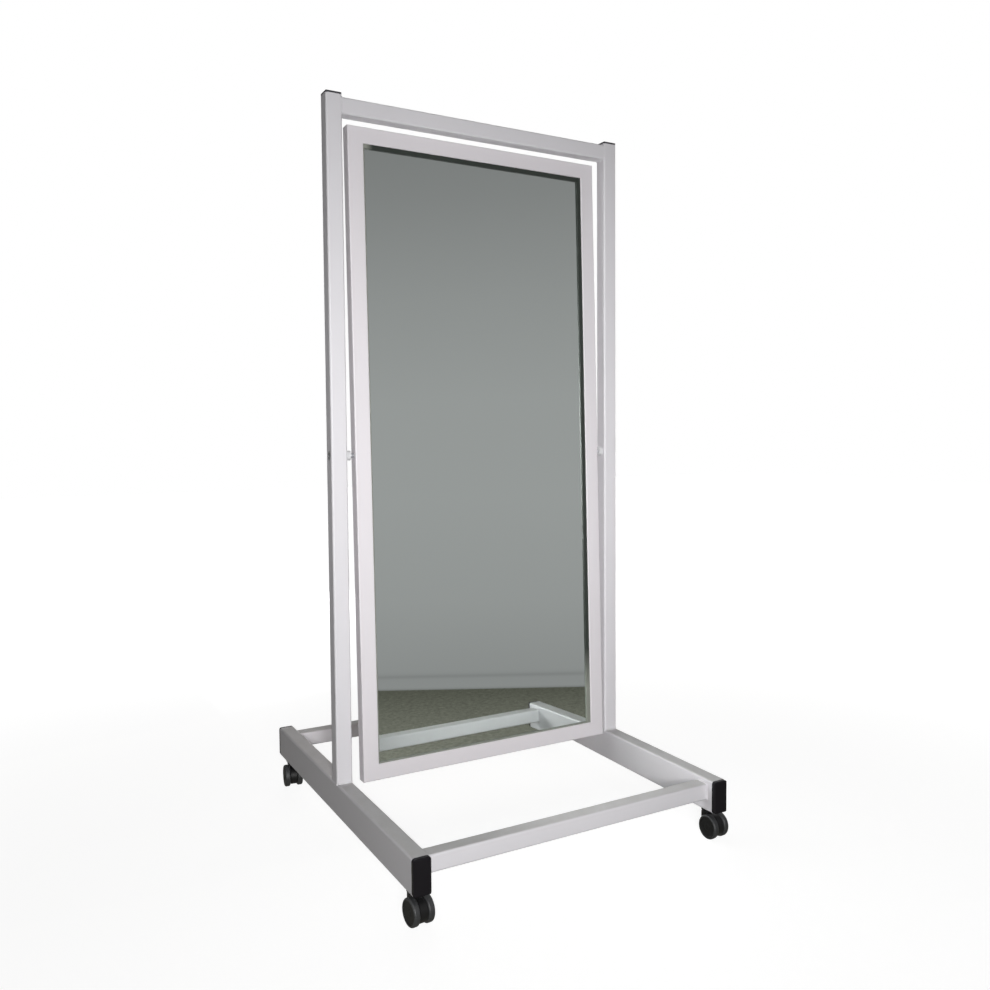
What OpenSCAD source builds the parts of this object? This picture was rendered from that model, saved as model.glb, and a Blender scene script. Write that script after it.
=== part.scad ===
// Rolling floor mirror: a framed mirror on a horizontal pivot, hung between the two uprights of a
// welded tube stand on four twin-wheel swivel casters.
// Origin: on the floor, midway between the uprights. +X to the stand's right, -Y to its front.

/* [Stand] */
// Width over the side rails and over the uprights
stand_w = 830; // [826:1:900]
// Length of the side rails, front to back, without their caps
rail_len = 994; // [800:1:1200]
// How far the rails reach behind the uprights' centreline
rail_back = 502; // [400:1:600]
// Height of the uprights' tube above the floor, without the caps
upright_top = 1816; // [1810:1:1900]
// Drop of the top crossbar's top face below the uprights' tube ends
top_bar_drop = 5; // [0:1:30]
// Set-back of the front crossbar from the rails' tube ends
front_setback = 18; // [5:1:30]
// Set-back of the rear crossbar from the rails' tube ends
rear_setback = 6; // [5:1:30]
// Drop of the front and rear crossbars' top faces below the rails' top faces
bar_drop = 11; // [0:1:38]

/* [Tubes] */
// Side of the square tube, and width of the side rails
tube = 40; // [38:1:42]
// Height of the side rails
rail_h = 80; // [60:1:90]
// Wall thickness of every tube
wall = 2; // [1.5:0.5:2.5]
// Outer corner radius of the tubes
tube_r = 5; // [3:0.5:6]
// Thickness of the heads of the uprights' plastic caps
upright_cap_t = 5; // [3:0.5:8]
// Thickness of the heads of the rails' plastic caps
rail_cap_t = 11; // [5:0.5:15]

/* [Mirror] */
// Overall width of the mirror frame
mirror_w = 708; // [680:1:712]
// Overall height of the mirror frame
mirror_h = 1609; // [1500:1:1610]
// Face width of the mirror frame's tube
frame_face = 40; // [36:1:45]
// Depth of the mirror frame's tube
frame_depth = 34; // [30:1:40]
// Corner radius of the mirror frame's tube
frame_r = 3; // [2.5:0.5:4]
// Height of the pivot axis above the floor
pivot_z = 956; // [950:1:960]
// Height of the pivot axis above the mirror's mid-height, so that the mirror hangs upright
pivot_up = 3; // [0:0.5:4]
// Lean of the mirror as shown: its top goes back by this angle
lean = 1.8; // [-20:0.1:20]
// Width of the dark glazing seal at the left and at the bottom
seal_narrow = 3; // [2:0.5:6]
// Width of the dark glazing seal at the top and at the right
seal_wide = 11; // [3:0.5:12]
// Thickness of the mirror glass
glass_t = 5; // [4:0.5:6]

/* [Pivot] */
// Radius of the pivot bolts
bolt_r = 6; // [5:0.5:6]
// Radius of the pale collars on the uprights' inner faces
collar_r = 12; // [10:0.5:14]
// Length of those collars
collar_len = 12; // [8:1:18]

/* [Casters] */
// Radius of the caster wheels
wheel_r = 30; // [29:0.5:31]
// Width of one caster wheel
wheel_w = 14.5; // [13:0.5:15]
// Width over the two wheels of a caster
twin_w = 48; // [46:1:50]
// Height of a caster from the floor to the underside of the rail
caster_h = 70; // [70:1:75]
// Distance of the wheels' axle behind the swivel axis
trail = 24; // [22:1:26]
// Distance of the swivel axes from the rails' tube ends
caster_inset = 42; // [36:1:60]
// Heading of the front left caster, as shown
yaw_fl = 95; // [0:1:360]
// Heading of the front right caster, as shown
yaw_fr = 94; // [0:1:360]
// Heading of the rear left caster, as shown
yaw_rl = 83; // [0:1:360]
// Heading of the rear right caster
yaw_rr = 84; // [0:1:360]

/* [Hidden] */
$fn = 48;

// Colours
coat = "#d2d1d9";
black = "#1d1c1e";
white = "#d6d6d8";
steel = "#b9bcc0";
aluminium = "#c9ccd0";
tread = "#4a4c4e";
board = "#7a5d43";
silvered = "#8f9b96";

// Stand
half_w = stand_w / 2;
axis_x = half_w - tube / 2;
inner_x = half_w - tube;
rail_front = rail_back - rail_len;
rail_z = caster_h;
rail_top = rail_z + rail_h;
bar_z = rail_top - bar_drop - tube;
plug_gap = 1.2;
rail_cap_r = 7;
rail_cap_bevel = 2.5;
rail_cap_plug = 20;
upright_cap_bevel = 1.2;
upright_cap_plug = 15;
plug_wall = 1.8;
plug_out = wall + plug_gap;
plug_in = plug_out + plug_wall;

// Pivot
run_clear = 0.05;
part_gap = 0.3;
over = 1;
sleeve_r = 9;
bolt_head_r = 10.7;
bolt_head_t = 5.5;
bolt_head_out = half_w - 0.2;
bolt_head_in = bolt_head_out - bolt_head_t;
bolt_end = 18;
socket_af = 8;
socket_depth = 4;
pivot_nut_af = 19;
pivot_nut_t = 12;
half_mirror = mirror_w / 2;

// Mirror stack, as depths from the frame's front face
open_w = mirror_w - 2 * frame_face;
open_h = mirror_h - 2 * frame_face;
glass_clear = 1;
seal_front = 3;
seal_t = 5;
glass_front = seal_front + seal_t;
board_t = 3;
board_front = glass_front + glass_t + part_gap;
strip_side = 12;
strip_t = 1.5;
strip_front = board_front + board_t + 0.1;
strip_fit = 0.1;
screw_r = 1.6;
screw_hole_r = 1.65;
strip_hole_r = 2.2;
screw_len = 9;
screw_head_r = 4;
screw_head_t = 2.4;
screw_depth = strip_front + 7;
stile_screws = 6;
rail_screws = 3;
screw_margin = 90;

// Casters
caster_front = rail_front + caster_inset;
caster_rear = rail_back - caster_inset;
stem_r = 5;
stem_hole_r = 5.3;
stem_hex_af = 15;
stem_hex_t = 4;
stem_above = 12;
stem_below = 27;
caster_nut_af = 17;
caster_nut_t = 8;
fork_half = 8.5;
fork_hood_r = 27;
fork_drop = 20;
barrel_r = 11.5;
barrel_z = 56.5;
flange_r = 14;
flange_t = 2.6;
fork_top = caster_h - stem_hex_t - part_gap;
axle_r = 3;
axle_half = 21;
tyre_t = 4.5;
tyre_edge = 4;
tyre_span = 12;
hub_r = wheel_r - tyre_t;
tyre_in_r = hub_r + run_clear;
boss_r = 7;
wheel_out = twin_w / 2;
wheel_in = wheel_out - wheel_w;
rim_in_r = 22.5;

// Flat shapes

// Rectangle with round corners, centred
module round_rect(w, h, r) {
  square([w - 2 * r, h], center = true);
  square([w, h - 2 * r], center = true);
  for (x = [-1, 1], y = [-1, 1])
    translate([x * (w / 2 - r), y * (h / 2 - r)])
      circle(r = r);
}

// Cross-section of a rectangular tube
module tube_section(w, h, r) {
  difference() {
    round_rect(w, h, r);
    round_rect(w - 2 * wall, h - 2 * wall, r - wall);
  }
}

// Tube along Z from 0 to len
module tube_z(w, h, r, len) {
  linear_extrude(len)
    tube_section(w, h, r);
}

// Tube along X, centred; w is its size along Y and h its size along Z
module tube_x(w, h, r, len) {
  rotate([90, 0, 90])
    translate([0, 0, -len / 2])
      linear_extrude(len)
        tube_section(w, h, r);
}

// Hexagonal prism along Z with the given size across flats
module hex(af, h) {
  cylinder(r = af / 2 / cos(30), h = h, $fn = 6);
}

// Cylinder along X from x0 to x1
module rod_x(r, x0, x1) {
  translate([x0, 0, 0])
    rotate([0, 90, 0])
      cylinder(r = r, h = x1 - x0);
}

// Stand

// Side rail; side is -1 for the left and 1 for the right
module side_rail(side) {
  color(coat)
    difference() {
      translate([side * axis_x, rail_back, rail_z + rail_h / 2])
        rotate([90, 0, 0])
          tube_z(tube, rail_h, tube_r, rail_len);
      for (y = [caster_front, caster_rear])
        translate([side * axis_x, y, rail_z - over])
          cylinder(r = stem_hole_r, h = wall + 2 * over);
    }
}

// Crossbar between the side rails, its centreline at y
module low_crossbar(y) {
  color(coat)
    translate([0, y, bar_z + tube / 2])
      tube_x(tube, tube, tube_r, 2 * inner_x);
}

module upright(side) {
  color(coat)
    difference() {
      translate([side * axis_x, 0, rail_top])
        tube_z(tube, tube, tube_r, upright_top - rail_top);
      translate([0, 0, pivot_z])
        mirror([side < 0 ? 1 : 0, 0, 0]) {
          rod_x(sleeve_r + run_clear, inner_x - over, inner_x + wall + over);
          rod_x(bolt_head_r + part_gap, half_w - wall - over, half_w + over);
        }
    }
}

module top_bar() {
  color(coat)
    translate([0, 0, upright_top - top_bar_drop - tube / 2])
      tube_x(tube, tube, tube_r, 2 * inner_x);
}

// Tube end cap: a bevelled head from z = 0 up, and a hollow plug below it
module end_cap(w, h, r, t, bevel, plug) {
  color(black) {
    intersection() {
      linear_extrude(t)
        round_rect(w, h, r);
      rotate([90, 0, 0])
        linear_extrude(h, center = true)
          bevel_side(w, t, bevel);
      rotate([90, 0, 90])
        linear_extrude(w, center = true)
          bevel_side(h, t, bevel);
    }
    translate([0, 0, -plug])
      linear_extrude(plug)
        difference() {
          square([w - 2 * plug_out, h - 2 * plug_out], center = true);
          square([w - 2 * plug_in, h - 2 * plug_in], center = true);
        }
  }
}

// Side view of a cap head whose upper edges are bevelled
module bevel_side(w, t, bevel) {
  polygon([
    [-w / 2, 0], [w / 2, 0], [w / 2, t - bevel], [w / 2 - bevel, t],
    [-w / 2 + bevel, t], [-w / 2, t - bevel]
  ]);
}

module upright_cap(side) {
  translate([side * axis_x, 0, upright_top])
    end_cap(tube, tube, tube_r, upright_cap_t, upright_cap_bevel, upright_cap_plug);
}

// Rail cap; front is true for the front end
module rail_cap(side, front) {
  translate([side * axis_x, front ? rail_front : rail_back, rail_z + rail_h / 2])
    rotate([front ? 90 : -90, 0, 0])
      end_cap(tube, rail_h, rail_cap_r, rail_cap_t, rail_cap_bevel, rail_cap_plug);
}

// Pivots

// Nylon bush: a sleeve through the upright's inner wall and a collar on its inner face
module pivot_bush(side) {
  color(white)
    translate([0, 0, pivot_z])
      mirror([side < 0 ? 1 : 0, 0, 0])
        difference() {
          union() {
            rod_x(collar_r, inner_x - collar_len, inner_x);
            rod_x(sleeve_r, inner_x - over, bolt_head_in - part_gap);
          }
          rod_x(bolt_r + run_clear, inner_x - collar_len - over, half_w);
        }
}

// Places what turns with the mirror: y is then the depth from the frame's front face, and z = 0
// the mirror's mid-height
module on_mirror() {
  translate([0, 0, pivot_z])
    rotate([-lean, 0, 0])
      translate([0, -frame_depth / 2, -pivot_up])
        children();
}

// One child on each side of the mirror
module both_sides() {
  for (m = [0, 1])
    mirror([m, 0, 0])
      children();
}

module bolts() {
  color(steel)
    on_mirror()
      both_sides()
        translate([0, frame_depth / 2, pivot_up])
          difference() {
            union() {
              rod_x(bolt_r, half_mirror - bolt_end, bolt_head_in + over);
              rod_x(bolt_head_r, bolt_head_in, bolt_head_out);
            }
            translate([half_w - socket_depth, 0, 0])
              rotate([0, 90, 0])
                hex(socket_af, socket_depth + over);
          }
}

module bolt_nuts() {
  color(steel)
    on_mirror()
      both_sides()
        translate([half_mirror - wall - pivot_nut_t, frame_depth / 2, pivot_up])
          rotate([0, 90, 0])
            difference() {
              hex(pivot_nut_af, pivot_nut_t);
              translate([0, 0, -over])
                cylinder(r = bolt_r + run_clear, h = pivot_nut_t + 2 * over);
            }
}

// Mirror

// Positions of n screws along a length, the outer ones a margin in from its ends
function screw_spots(len, n) =
  [for (i = [0 : n - 1]) -len / 2 + screw_margin + i * (len - 2 * screw_margin) / (n - 1)];

// Frame tube along Z with mitred ends, its outer face at x = reach and its overall length len
module mitred_tube(reach, len) {
  inner = reach - frame_face;
  intersection() {
    translate([reach - frame_face / 2, frame_depth / 2, -len / 2])
      tube_z(frame_face, frame_depth, frame_r, len);
    rotate([90, 0, 0])
      translate([0, 0, -frame_depth - over])
        linear_extrude(frame_depth + 2 * over)
          polygon([
            [inner, frame_face - len / 2], [reach, -len / 2],
            [reach, len / 2], [inner, len / 2 - frame_face]
          ]);
  }
}

// Drilled holes for the strip screws, through the inner wall of a frame tube
module screw_holes(reach, len, n) {
  for (z = screw_spots(len, n))
    translate([0, screw_depth, z])
      rod_x(screw_hole_r, reach - frame_face - over, reach - frame_face + wall + over);
}

module stile_right() {
  difference() {
    mitred_tube(half_mirror, mirror_h);
    screw_holes(half_mirror, open_h, stile_screws);
    translate([0, frame_depth / 2, pivot_up])
      rod_x(bolt_r + part_gap, half_mirror - wall - over, half_mirror + over);
  }
}

// Top rail of the frame, made along Z and turned
module rail_upper() {
  rotate([0, -90, 0])
    difference() {
      mitred_tube(mirror_h / 2, mirror_w);
      screw_holes(mirror_h / 2, open_w, rail_screws);
    }
}

module stile(side) {
  color(coat)
    on_mirror()
      mirror([side < 0 ? 1 : 0, 0, 0])
        stile_right();
}

module frame_rail(side) {
  color(coat)
    on_mirror()
      mirror([0, 0, side < 0 ? 1 : 0])
        rail_upper();
}

module glass() {
  color(silvered)
    on_mirror()
      translate([-open_w / 2 + glass_clear, glass_front, -open_h / 2 + glass_clear])
        cube([open_w - 2 * glass_clear, glass_t, open_h - 2 * glass_clear]);
}

// Dark seal between the frame and the glass, wider at the top and at the right
module seal() {
  clear = 0.1;
  color(black)
    on_mirror()
      difference() {
        translate([-open_w / 2 + clear, seal_front, -open_h / 2 + clear])
          cube([open_w - 2 * clear, seal_t, open_h - 2 * clear]);
        translate([-open_w / 2 + seal_narrow, 0, -open_h / 2 + seal_narrow])
          cube([
            open_w - seal_narrow - seal_wide, glass_front + over, open_h - seal_narrow - seal_wide
          ]);
      }
}

module backing() {
  color(board)
    on_mirror()
      translate([-open_w / 2 + glass_clear, board_front, -open_h / 2 + glass_clear])
        cube([open_w - 2 * glass_clear, board_t, open_h - 2 * glass_clear]);
}

// Angle strip along Z at the inner wall x = reach: a flange on the board, a leg on the tube
module angle_strip(reach, len, spots) {
  x1 = reach - strip_fit;
  difference() {
    translate([0, 0, -len / 2]) {
      translate([x1 - strip_side, strip_front, 0])
        cube([strip_side, strip_t, len]);
      translate([x1 - strip_t, strip_front, 0])
        cube([strip_t, strip_side, len]);
    }
    for (z = spots)
      translate([0, screw_depth, z])
        rod_x(strip_hole_r, x1 - strip_t - over, x1 + over);
  }
}

module side_strip(side) {
  color(aluminium)
    on_mirror()
      mirror([side < 0 ? 1 : 0, 0, 0])
        angle_strip(
          open_w / 2, open_h - 2 * strip_side - 2 * part_gap, screw_spots(open_h, stile_screws)
        );
}

module end_strip(side) {
  color(aluminium)
    on_mirror()
      mirror([0, 0, side < 0 ? 1 : 0])
        rotate([0, -90, 0])
          angle_strip(open_h / 2, open_w - 2 * strip_fit, screw_spots(open_w, rail_screws));
}

// Pan head screws at the inner wall x = reach
module screw_row(reach, spots) {
  head_x = reach - strip_fit - strip_t;
  for (z = spots)
    translate([0, screw_depth, z]) {
      rod_x(screw_r, head_x - over, head_x + screw_len);
      rod_x(screw_head_r, head_x - screw_head_t, head_x);
    }
}

module screws() {
  color(steel)
    on_mirror()
      for (m = [0, 1]) {
        mirror([m, 0, 0])
          screw_row(open_w / 2, screw_spots(open_h, stile_screws));
        mirror([0, 0, m])
          rotate([0, -90, 0])
            screw_row(open_h / 2, screw_spots(open_w, rail_screws));
      }
}

// Casters

// Swivel axis and heading of each caster
function caster_at(c) =
  c == "front_left" ? [-axis_x, caster_front, yaw_fl] :
  c == "front_right" ? [axis_x, caster_front, yaw_fr] :
  c == "rear_left" ? [-axis_x, caster_rear, yaw_rl] : [axis_x, caster_rear, yaw_rr];

// Places what turns with a caster: x is then its heading, and y = 0 lies between its wheels
module on_caster(c) {
  spot = caster_at(c);
  translate([spot[0], spot[1], 0])
    rotate([0, 0, spot[2]])
      children();
}

module each_caster() {
  for (c = ["front_left", "front_right", "rear_left", "rear_right"])
    on_caster(c)
      children();
}

module stems() {
  color(steel)
    each_caster() {
      translate([0, 0, caster_h - stem_below])
        cylinder(r = stem_r, h = stem_below + stem_above);
      translate([0, 0, caster_h - stem_hex_t])
        hex(stem_hex_af, stem_hex_t);
    }
}

module stem_nuts() {
  color(steel)
    each_caster()
      translate([0, 0, rail_z + wall])
        difference() {
          hex(caster_nut_af, caster_nut_t);
          translate([0, 0, -over])
            cylinder(r = stem_r + run_clear, h = caster_nut_t + 2 * over);
        }
}

// Side view of the fork between the wheels, around the axle at [-trail, wheel_r]
module fork_side() {
  intersection() {
    translate([-trail, wheel_r])
      circle(r = fork_hood_r);
    translate([-trail - fork_hood_r, wheel_r - fork_drop])
      square([2 * fork_hood_r, fork_hood_r + fork_drop]);
  }
  polygon([
    [-trail, wheel_r + fork_hood_r], [-barrel_r, barrel_z + 2], [barrel_r, barrel_z + 2],
    [barrel_r, wheel_r + 15], [barrel_r - 5, wheel_r + 4], [-trail, wheel_r]
  ]);
}

module fork(c) {
  color(black)
    on_caster(c)
      difference() {
        union() {
          rotate([90, 0, 0])
            linear_extrude(2 * fork_half, center = true)
              fork_side();
          translate([0, 0, barrel_z])
            cylinder(r = barrel_r, h = fork_top - barrel_z);
          translate([0, 0, fork_top - flange_t])
            cylinder(r = flange_r, h = flange_t);
        }
        translate([0, 0, caster_h - stem_below - over])
          cylinder(r = stem_r + run_clear, h = stem_below);
        translate([-trail, 0, wheel_r])
          rotate([90, 0, 0])
            cylinder(r = axle_r + run_clear, h = 2 * fork_half + 2 * over, center = true);
      }
}

module axle(c) {
  color(steel)
    on_caster(c)
      translate([-trail, 0, wheel_r])
        rotate([90, 0, 0])
          cylinder(r = axle_r, h = 2 * axle_half, center = true);
}

// Places a wheel part drawn about Z, its outer side up; side is 1 for the left wheel
module on_axle(c, side) {
  on_caster(c)
    translate([-trail, 0, wheel_r])
      rotate([-90 * side, 0, 0])
        children();
}

module hub(c, side) {
  color(black)
    on_axle(c, side)
      rotate_extrude()
        polygon([
          [0, axle_half + 0.5], [axle_r + run_clear, axle_half + 0.5],
          [axle_r + run_clear, fork_half + part_gap], [boss_r, fork_half + part_gap],
          [boss_r, wheel_out - 4.5], [rim_in_r, wheel_out - 4.5], [rim_in_r, wheel_in],
          [hub_r, wheel_in], [hub_r, wheel_out - 0.6], [hub_r - 2, wheel_out - 0.6],
          [hub_r - 3.5, wheel_out - 1.6], [boss_r + 1.5, wheel_out - 1.6],
          [boss_r, wheel_out - 0.8], [0, wheel_out - 0.8]
        ]);
}

module tyre(c, side) {
  color(tread)
    on_axle(c, side)
      rotate_extrude()
        intersection() {
          translate([tyre_in_r, wheel_in])
            square([wheel_r - tyre_in_r, wheel_w]);
          translate([wheel_r - tyre_span / 2, wheel_in + wheel_w / 2])
            round_rect(tyre_span, wheel_w, tyre_edge);
        }
}

side_rail(-1);  // left_side_rail
side_rail(1);  // right_side_rail
low_crossbar(rail_front + front_setback + tube / 2);  // front_crossbar
low_crossbar(rail_back - rear_setback - tube / 2);  // rear_crossbar
upright(-1);  // left_upright
upright(1);  // right_upright
top_bar();  // top_crossbar
upright_cap(-1);  // left_upright_cap
upright_cap(1);  // right_upright_cap
rail_cap(-1, true);  // front_left_rail_cap
rail_cap(1, true);  // front_right_rail_cap
rail_cap(-1, false);  // rear_left_rail_cap
rail_cap(1, false);  // rear_right_rail_cap
pivot_bush(-1);  // left_pivot_bush
pivot_bush(1);  // right_pivot_bush
stem_nuts();  // caster_nuts
stems();  // caster_stems
stile(-1);  // mirror_left_stile
stile(1);  // mirror_right_stile
frame_rail(1);  // mirror_top_rail
frame_rail(-1);  // mirror_bottom_rail
glass();  // mirror_glass
seal();  // glazing_seal
backing();  // backing_board
side_strip(-1);  // left_strip
side_strip(1);  // right_strip
end_strip(1);  // top_strip
end_strip(-1);  // bottom_strip
screws();  // strip_screws
bolts();  // pivot_bolts
bolt_nuts();  // pivot_nuts
fork("front_left");  // front_left_fork
axle("front_left");  // front_left_axle
hub("front_left", 1);  // front_left_hub_l
tyre("front_left", 1);  // front_left_tyre_l
hub("front_left", -1);  // front_left_hub_r
tyre("front_left", -1);  // front_left_tyre_r
fork("front_right");  // front_right_fork
axle("front_right");  // front_right_axle
hub("front_right", 1);  // front_right_hub_l
tyre("front_right", 1);  // front_right_tyre_l
hub("front_right", -1);  // front_right_hub_r
tyre("front_right", -1);  // front_right_tyre_r
fork("rear_left");  // rear_left_fork
axle("rear_left");  // rear_left_axle
hub("rear_left", 1);  // rear_left_hub_l
tyre("rear_left", 1);  // rear_left_tyre_l
hub("rear_left", -1);  // rear_left_hub_r
tyre("rear_left", -1);  // rear_left_tyre_r
fork("rear_right");  // rear_right_fork
axle("rear_right");  // rear_right_axle
hub("rear_right", 1);  // rear_right_hub_l
tyre("rear_right", 1);  // rear_right_tyre_l
hub("rear_right", -1);  // rear_right_hub_r
tyre("rear_right", -1);  // rear_right_tyre_r
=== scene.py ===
import math

import bmesh
import bpy
from mathutils import Matrix, Vector, noise


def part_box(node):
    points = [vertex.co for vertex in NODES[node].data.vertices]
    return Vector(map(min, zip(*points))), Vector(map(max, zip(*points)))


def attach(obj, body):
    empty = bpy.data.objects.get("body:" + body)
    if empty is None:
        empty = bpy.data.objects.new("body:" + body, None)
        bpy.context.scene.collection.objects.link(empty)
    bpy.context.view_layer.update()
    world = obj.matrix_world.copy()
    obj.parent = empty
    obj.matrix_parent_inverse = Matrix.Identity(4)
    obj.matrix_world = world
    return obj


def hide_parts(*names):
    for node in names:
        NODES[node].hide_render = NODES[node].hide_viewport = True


bl_info = {
    "name": "Rolling Floor Mirror",
    "version": (1, 0, 0),
    "blender": (4, 5, 0),
    "location": "3D View > Sidebar > Floor Mirror",
    "description": "Dresses a rolling floor mirror: powder coat, welds, glass, casters and studio",
    "category": "Object",
}

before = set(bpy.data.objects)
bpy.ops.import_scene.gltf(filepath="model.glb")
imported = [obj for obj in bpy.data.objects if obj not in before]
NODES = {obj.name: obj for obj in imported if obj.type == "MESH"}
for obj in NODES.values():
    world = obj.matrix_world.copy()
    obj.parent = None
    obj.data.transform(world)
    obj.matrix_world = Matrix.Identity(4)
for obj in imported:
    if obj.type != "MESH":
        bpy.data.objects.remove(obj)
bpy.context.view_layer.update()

# Places read off the solids, in metres
RAIL_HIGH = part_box("right_side_rail")[1]
BAR_LOW, BAR_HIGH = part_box("front_crossbar")
REAR_LOW, REAR_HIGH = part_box("rear_crossbar")
TOP_LOW, TOP_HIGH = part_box("top_crossbar")
POST_LOW, POST_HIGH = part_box("right_upright")
CASTERS = ("front_left", "front_right", "rear_left", "rear_right")

# The stand's square tube: half its width, and the radius of its corners
TUBE_HALF = 0.020
TUBE_CORNER = 0.005

# The stage, in metres
FLOOR_HALF = 14
WALL_HALF = 7
WALL_HEIGHT = 4

# Each lamp: name, place, target, size, setting of its power, spread in degrees
LAMPS = (
    ("key_lamp", (-1.30, -3.10, 1.15), (0.05, 0, 0.86), (0.7, 0.7), "key_power", 70),
    ("back_lamp", (0.9, 3.6, 0.6), (0, 0, 0.9), (2.2, 1.1), "back_power", 180),
    ("side_lamp", (3.6, 0.6, 0.5), (0, 0, 0.9), (2.0, 0.9), "side_power", 180),
    ("mirror_bounce", (0.02, -0.18, 0.30), (0.40, -0.94, -0.01), (0.56, 0.28),
     "bounce_power", 70),
)

# The photograph's camera, fitted to the edges of the tubes
FRAME_PIXELS = 990
FOCAL_PIXELS = 950.37
CENTRE_PIXEL = (567.54, 479.29)
CAMERA_PLACE = (-1.13117, -2.26295, 1.02008)
CAMERA_TURN = (-0.5524, -0.0533, -0.0035)


# -------- settings

def colour_of(label, text, value):
    return bpy.props.FloatVectorProperty(
        name=label, description=text, subtype="COLOR", size=3, min=0, max=1, default=value)


def length_of(label, text, value):
    return bpy.props.FloatProperty(
        name=label, description=text, subtype="DISTANCE", unit="LENGTH", min=0, default=value)


def power_of(label, text, value):
    return bpy.props.FloatProperty(
        name=label, description=text, unit="POWER", min=0, default=value)


def share_of(label, text, value):
    return bpy.props.FloatProperty(
        name=label, description=text, subtype="FACTOR", min=0, max=1, default=value)


def angle_of(label, text, degrees):
    return bpy.props.FloatProperty(name=label, description=text, subtype="ANGLE",
                                   unit="ROTATION", default=math.radians(degrees))


class CoatSettings(bpy.types.PropertyGroup):
    stand_colour: colour_of("Stand", "Powder coat of the stand", (0.69, 0.675, 0.70))
    frame_colour: colour_of("Mirror frame", "Powder coat of the mirror frame", (0.70, 0.67, 0.695))
    # Upward faces go towards this colour: fine dust, and painted shade on the tops
    dust_and_shade_colour: colour_of("Dust", "Fine dust on the upward faces", (0.40, 0.395, 0.35))
    roughness: share_of("Roughness", "How dull the coat is", 0.42)
    peel_height: length_of("Peel height", "Height of the orange peel in the coat", 0.00036)
    bead_radius: length_of("Weld bead", "Radius of the weld beads", 0.0022)
    ripple_pitch: length_of("Weld ripple", "Distance between the ripples of a weld", 0.0030)
    ripple_depth: share_of("Ripple depth", "How far the ripples thin a bead", 0.08)


class PanelSettings(bpy.types.PropertyGroup):
    pivot_height: length_of("Pivot height", "Height of the mirror's pivot", 0.956)
    lean: angle_of("Lean", "How far the mirror's top leans back", 1.8)
    pivot_depth: length_of("Pivot depth", "Depth of the pivot axis behind the frame's front", 0.017)
    pivot_rise: length_of("Pivot rise", "Height of the pivot above the mirror's middle", 0.003)
    open_width: length_of("Opening width", "Width between the frame's stiles", 0.628)
    open_height: length_of("Opening height", "Height between the frame's rails", 1.529)
    # The seal is wider at the right and top, where its dark band is painted shade of the frame's
    # recess
    seal_narrow: length_of("Narrow seal", "Seal width at the left and bottom", 0.003)
    seal_wide: length_of("Wide seal", "Seal width at the right and top", 0.011)
    glass_colour: colour_of("Glass", "Tint of the silvered glass", (0.79, 0.85, 0.82))
    # Dark at the top and right as painted shade of the recess; paler at the left and bottom as
    # painted light
    seal_colour: colour_of("Seal", "Glazing seal at the top and right", (0.030, 0.036, 0.031))
    seal_painted_lit: colour_of("Seal in painted light", "Glazing seal at the left and bottom", (0.24, 0.25, 0.22))
    board_colour: colour_of("Backing", "Colour of the backing board", (0.21, 0.125, 0.07))
    strip_colour: colour_of("Strips", "Drawn aluminium of the retaining strips",
                            (0.72, 0.73, 0.75))
    screw_colour: colour_of("Screws", "Zinc plate of screws, bolts, stems and axles",
                            (0.60, 0.61, 0.64))
    screw_depth: length_of("Screw depth", "Depth of the strip screws behind the front", 0.0234)
    screw_seat: length_of("Screw seat", "Thickness of the strip under the screw heads", 0.0016)
    screw_margin: length_of("Screw margin", "Distance of the end screws from a strip's end", 0.090)


class CasterSettings(bpy.types.PropertyGroup):
    plastic_colour: colour_of("Plastic", "Colour of forks and hubs", (0.0065, 0.0065, 0.007))
    tread_colour: colour_of("Tread", "Colour of the soft treads", (0.028, 0.029, 0.031))
    cap_colour: colour_of("Caps", "Colour of the rails' end caps", (0.0065, 0.0055, 0.0075))
    # The uprights' caps are paler than the rails' caps: a painted highlight where their tops catch
    # light
    top_cap_highlight_colour: colour_of("Top caps", "Colour of the uprights' dusty caps",
                              (0.040, 0.036, 0.043))
    nylon_colour: colour_of("Pivot collars", "Colour of the pivot collars", (0.62, 0.62, 0.63))


class StudioSettings(bpy.types.PropertyGroup):
    floor_colour: colour_of("Floor", "Colour of the floor", (0.20, 0.20, 0.20))
    floor_lift: share_of("Floor lift", "How white the floor shows near the object", 0.88)
    key_power: power_of("Key lamp", "Power of the soft lamp behind the camera", 19.8)
    back_power: power_of("Back lamp", "Power of the soft lamp behind the object", 80)
    side_power: power_of("Side lamp", "Power of the soft lamp at the object's right", 38)
    bounce_power: power_of("Mirror bounce", "Power of the light that the glass throws back", 0.33)
    sky: share_of("Ambient", "Strength of the even light from all round", 0.03)
    wall_colour: colour_of("Wall", "Wall that the glass shows, at mid-height", (0.385, 0.38, 0.385))
    wall_gap: length_of("Wall distance", "Distance of that wall from the pivot", 1.522)
    wall_turn: angle_of("Wall turn", "How far that wall is turned from the object's front", 35.85)
    carpet_far: colour_of("Carpet, far", "Carpet beside that wall", (0.098, 0.097, 0.078))
    carpet_near: colour_of("Carpet, near", "Carpet beside the stand", (0.27, 0.265, 0.225))
    flag_colour: colour_of("Side flag", "Dim side of the room", (0.055, 0.05, 0.045))


# -------- shader groups

def group_shell(name, inputs, outputs, tree_kind="ShaderNodeTree"):
    """A new node group with its sockets, and its input and output nodes."""
    tree = bpy.data.node_groups.new(name, tree_kind)
    for label, kind, value in inputs:
        socket = tree.interface.new_socket(label, in_out="INPUT", socket_type=kind)
        if value is not None:
            socket.default_value = value
    for label, kind in outputs:
        tree.interface.new_socket(label, in_out="OUTPUT", socket_type=kind)
    return tree, tree.nodes.new("NodeGroupInput"), tree.nodes.new("NodeGroupOutput")


def feed(tree, slot, value):
    """Links another node's socket to a slot, or sets the slot to a number or a colour."""
    if isinstance(value, bpy.types.NodeSocket):
        tree.links.new(value, slot)
    elif isinstance(value, (int, float)):
        slot.default_value = value
    else:
        slot.default_value = (*value, 1)


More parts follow.
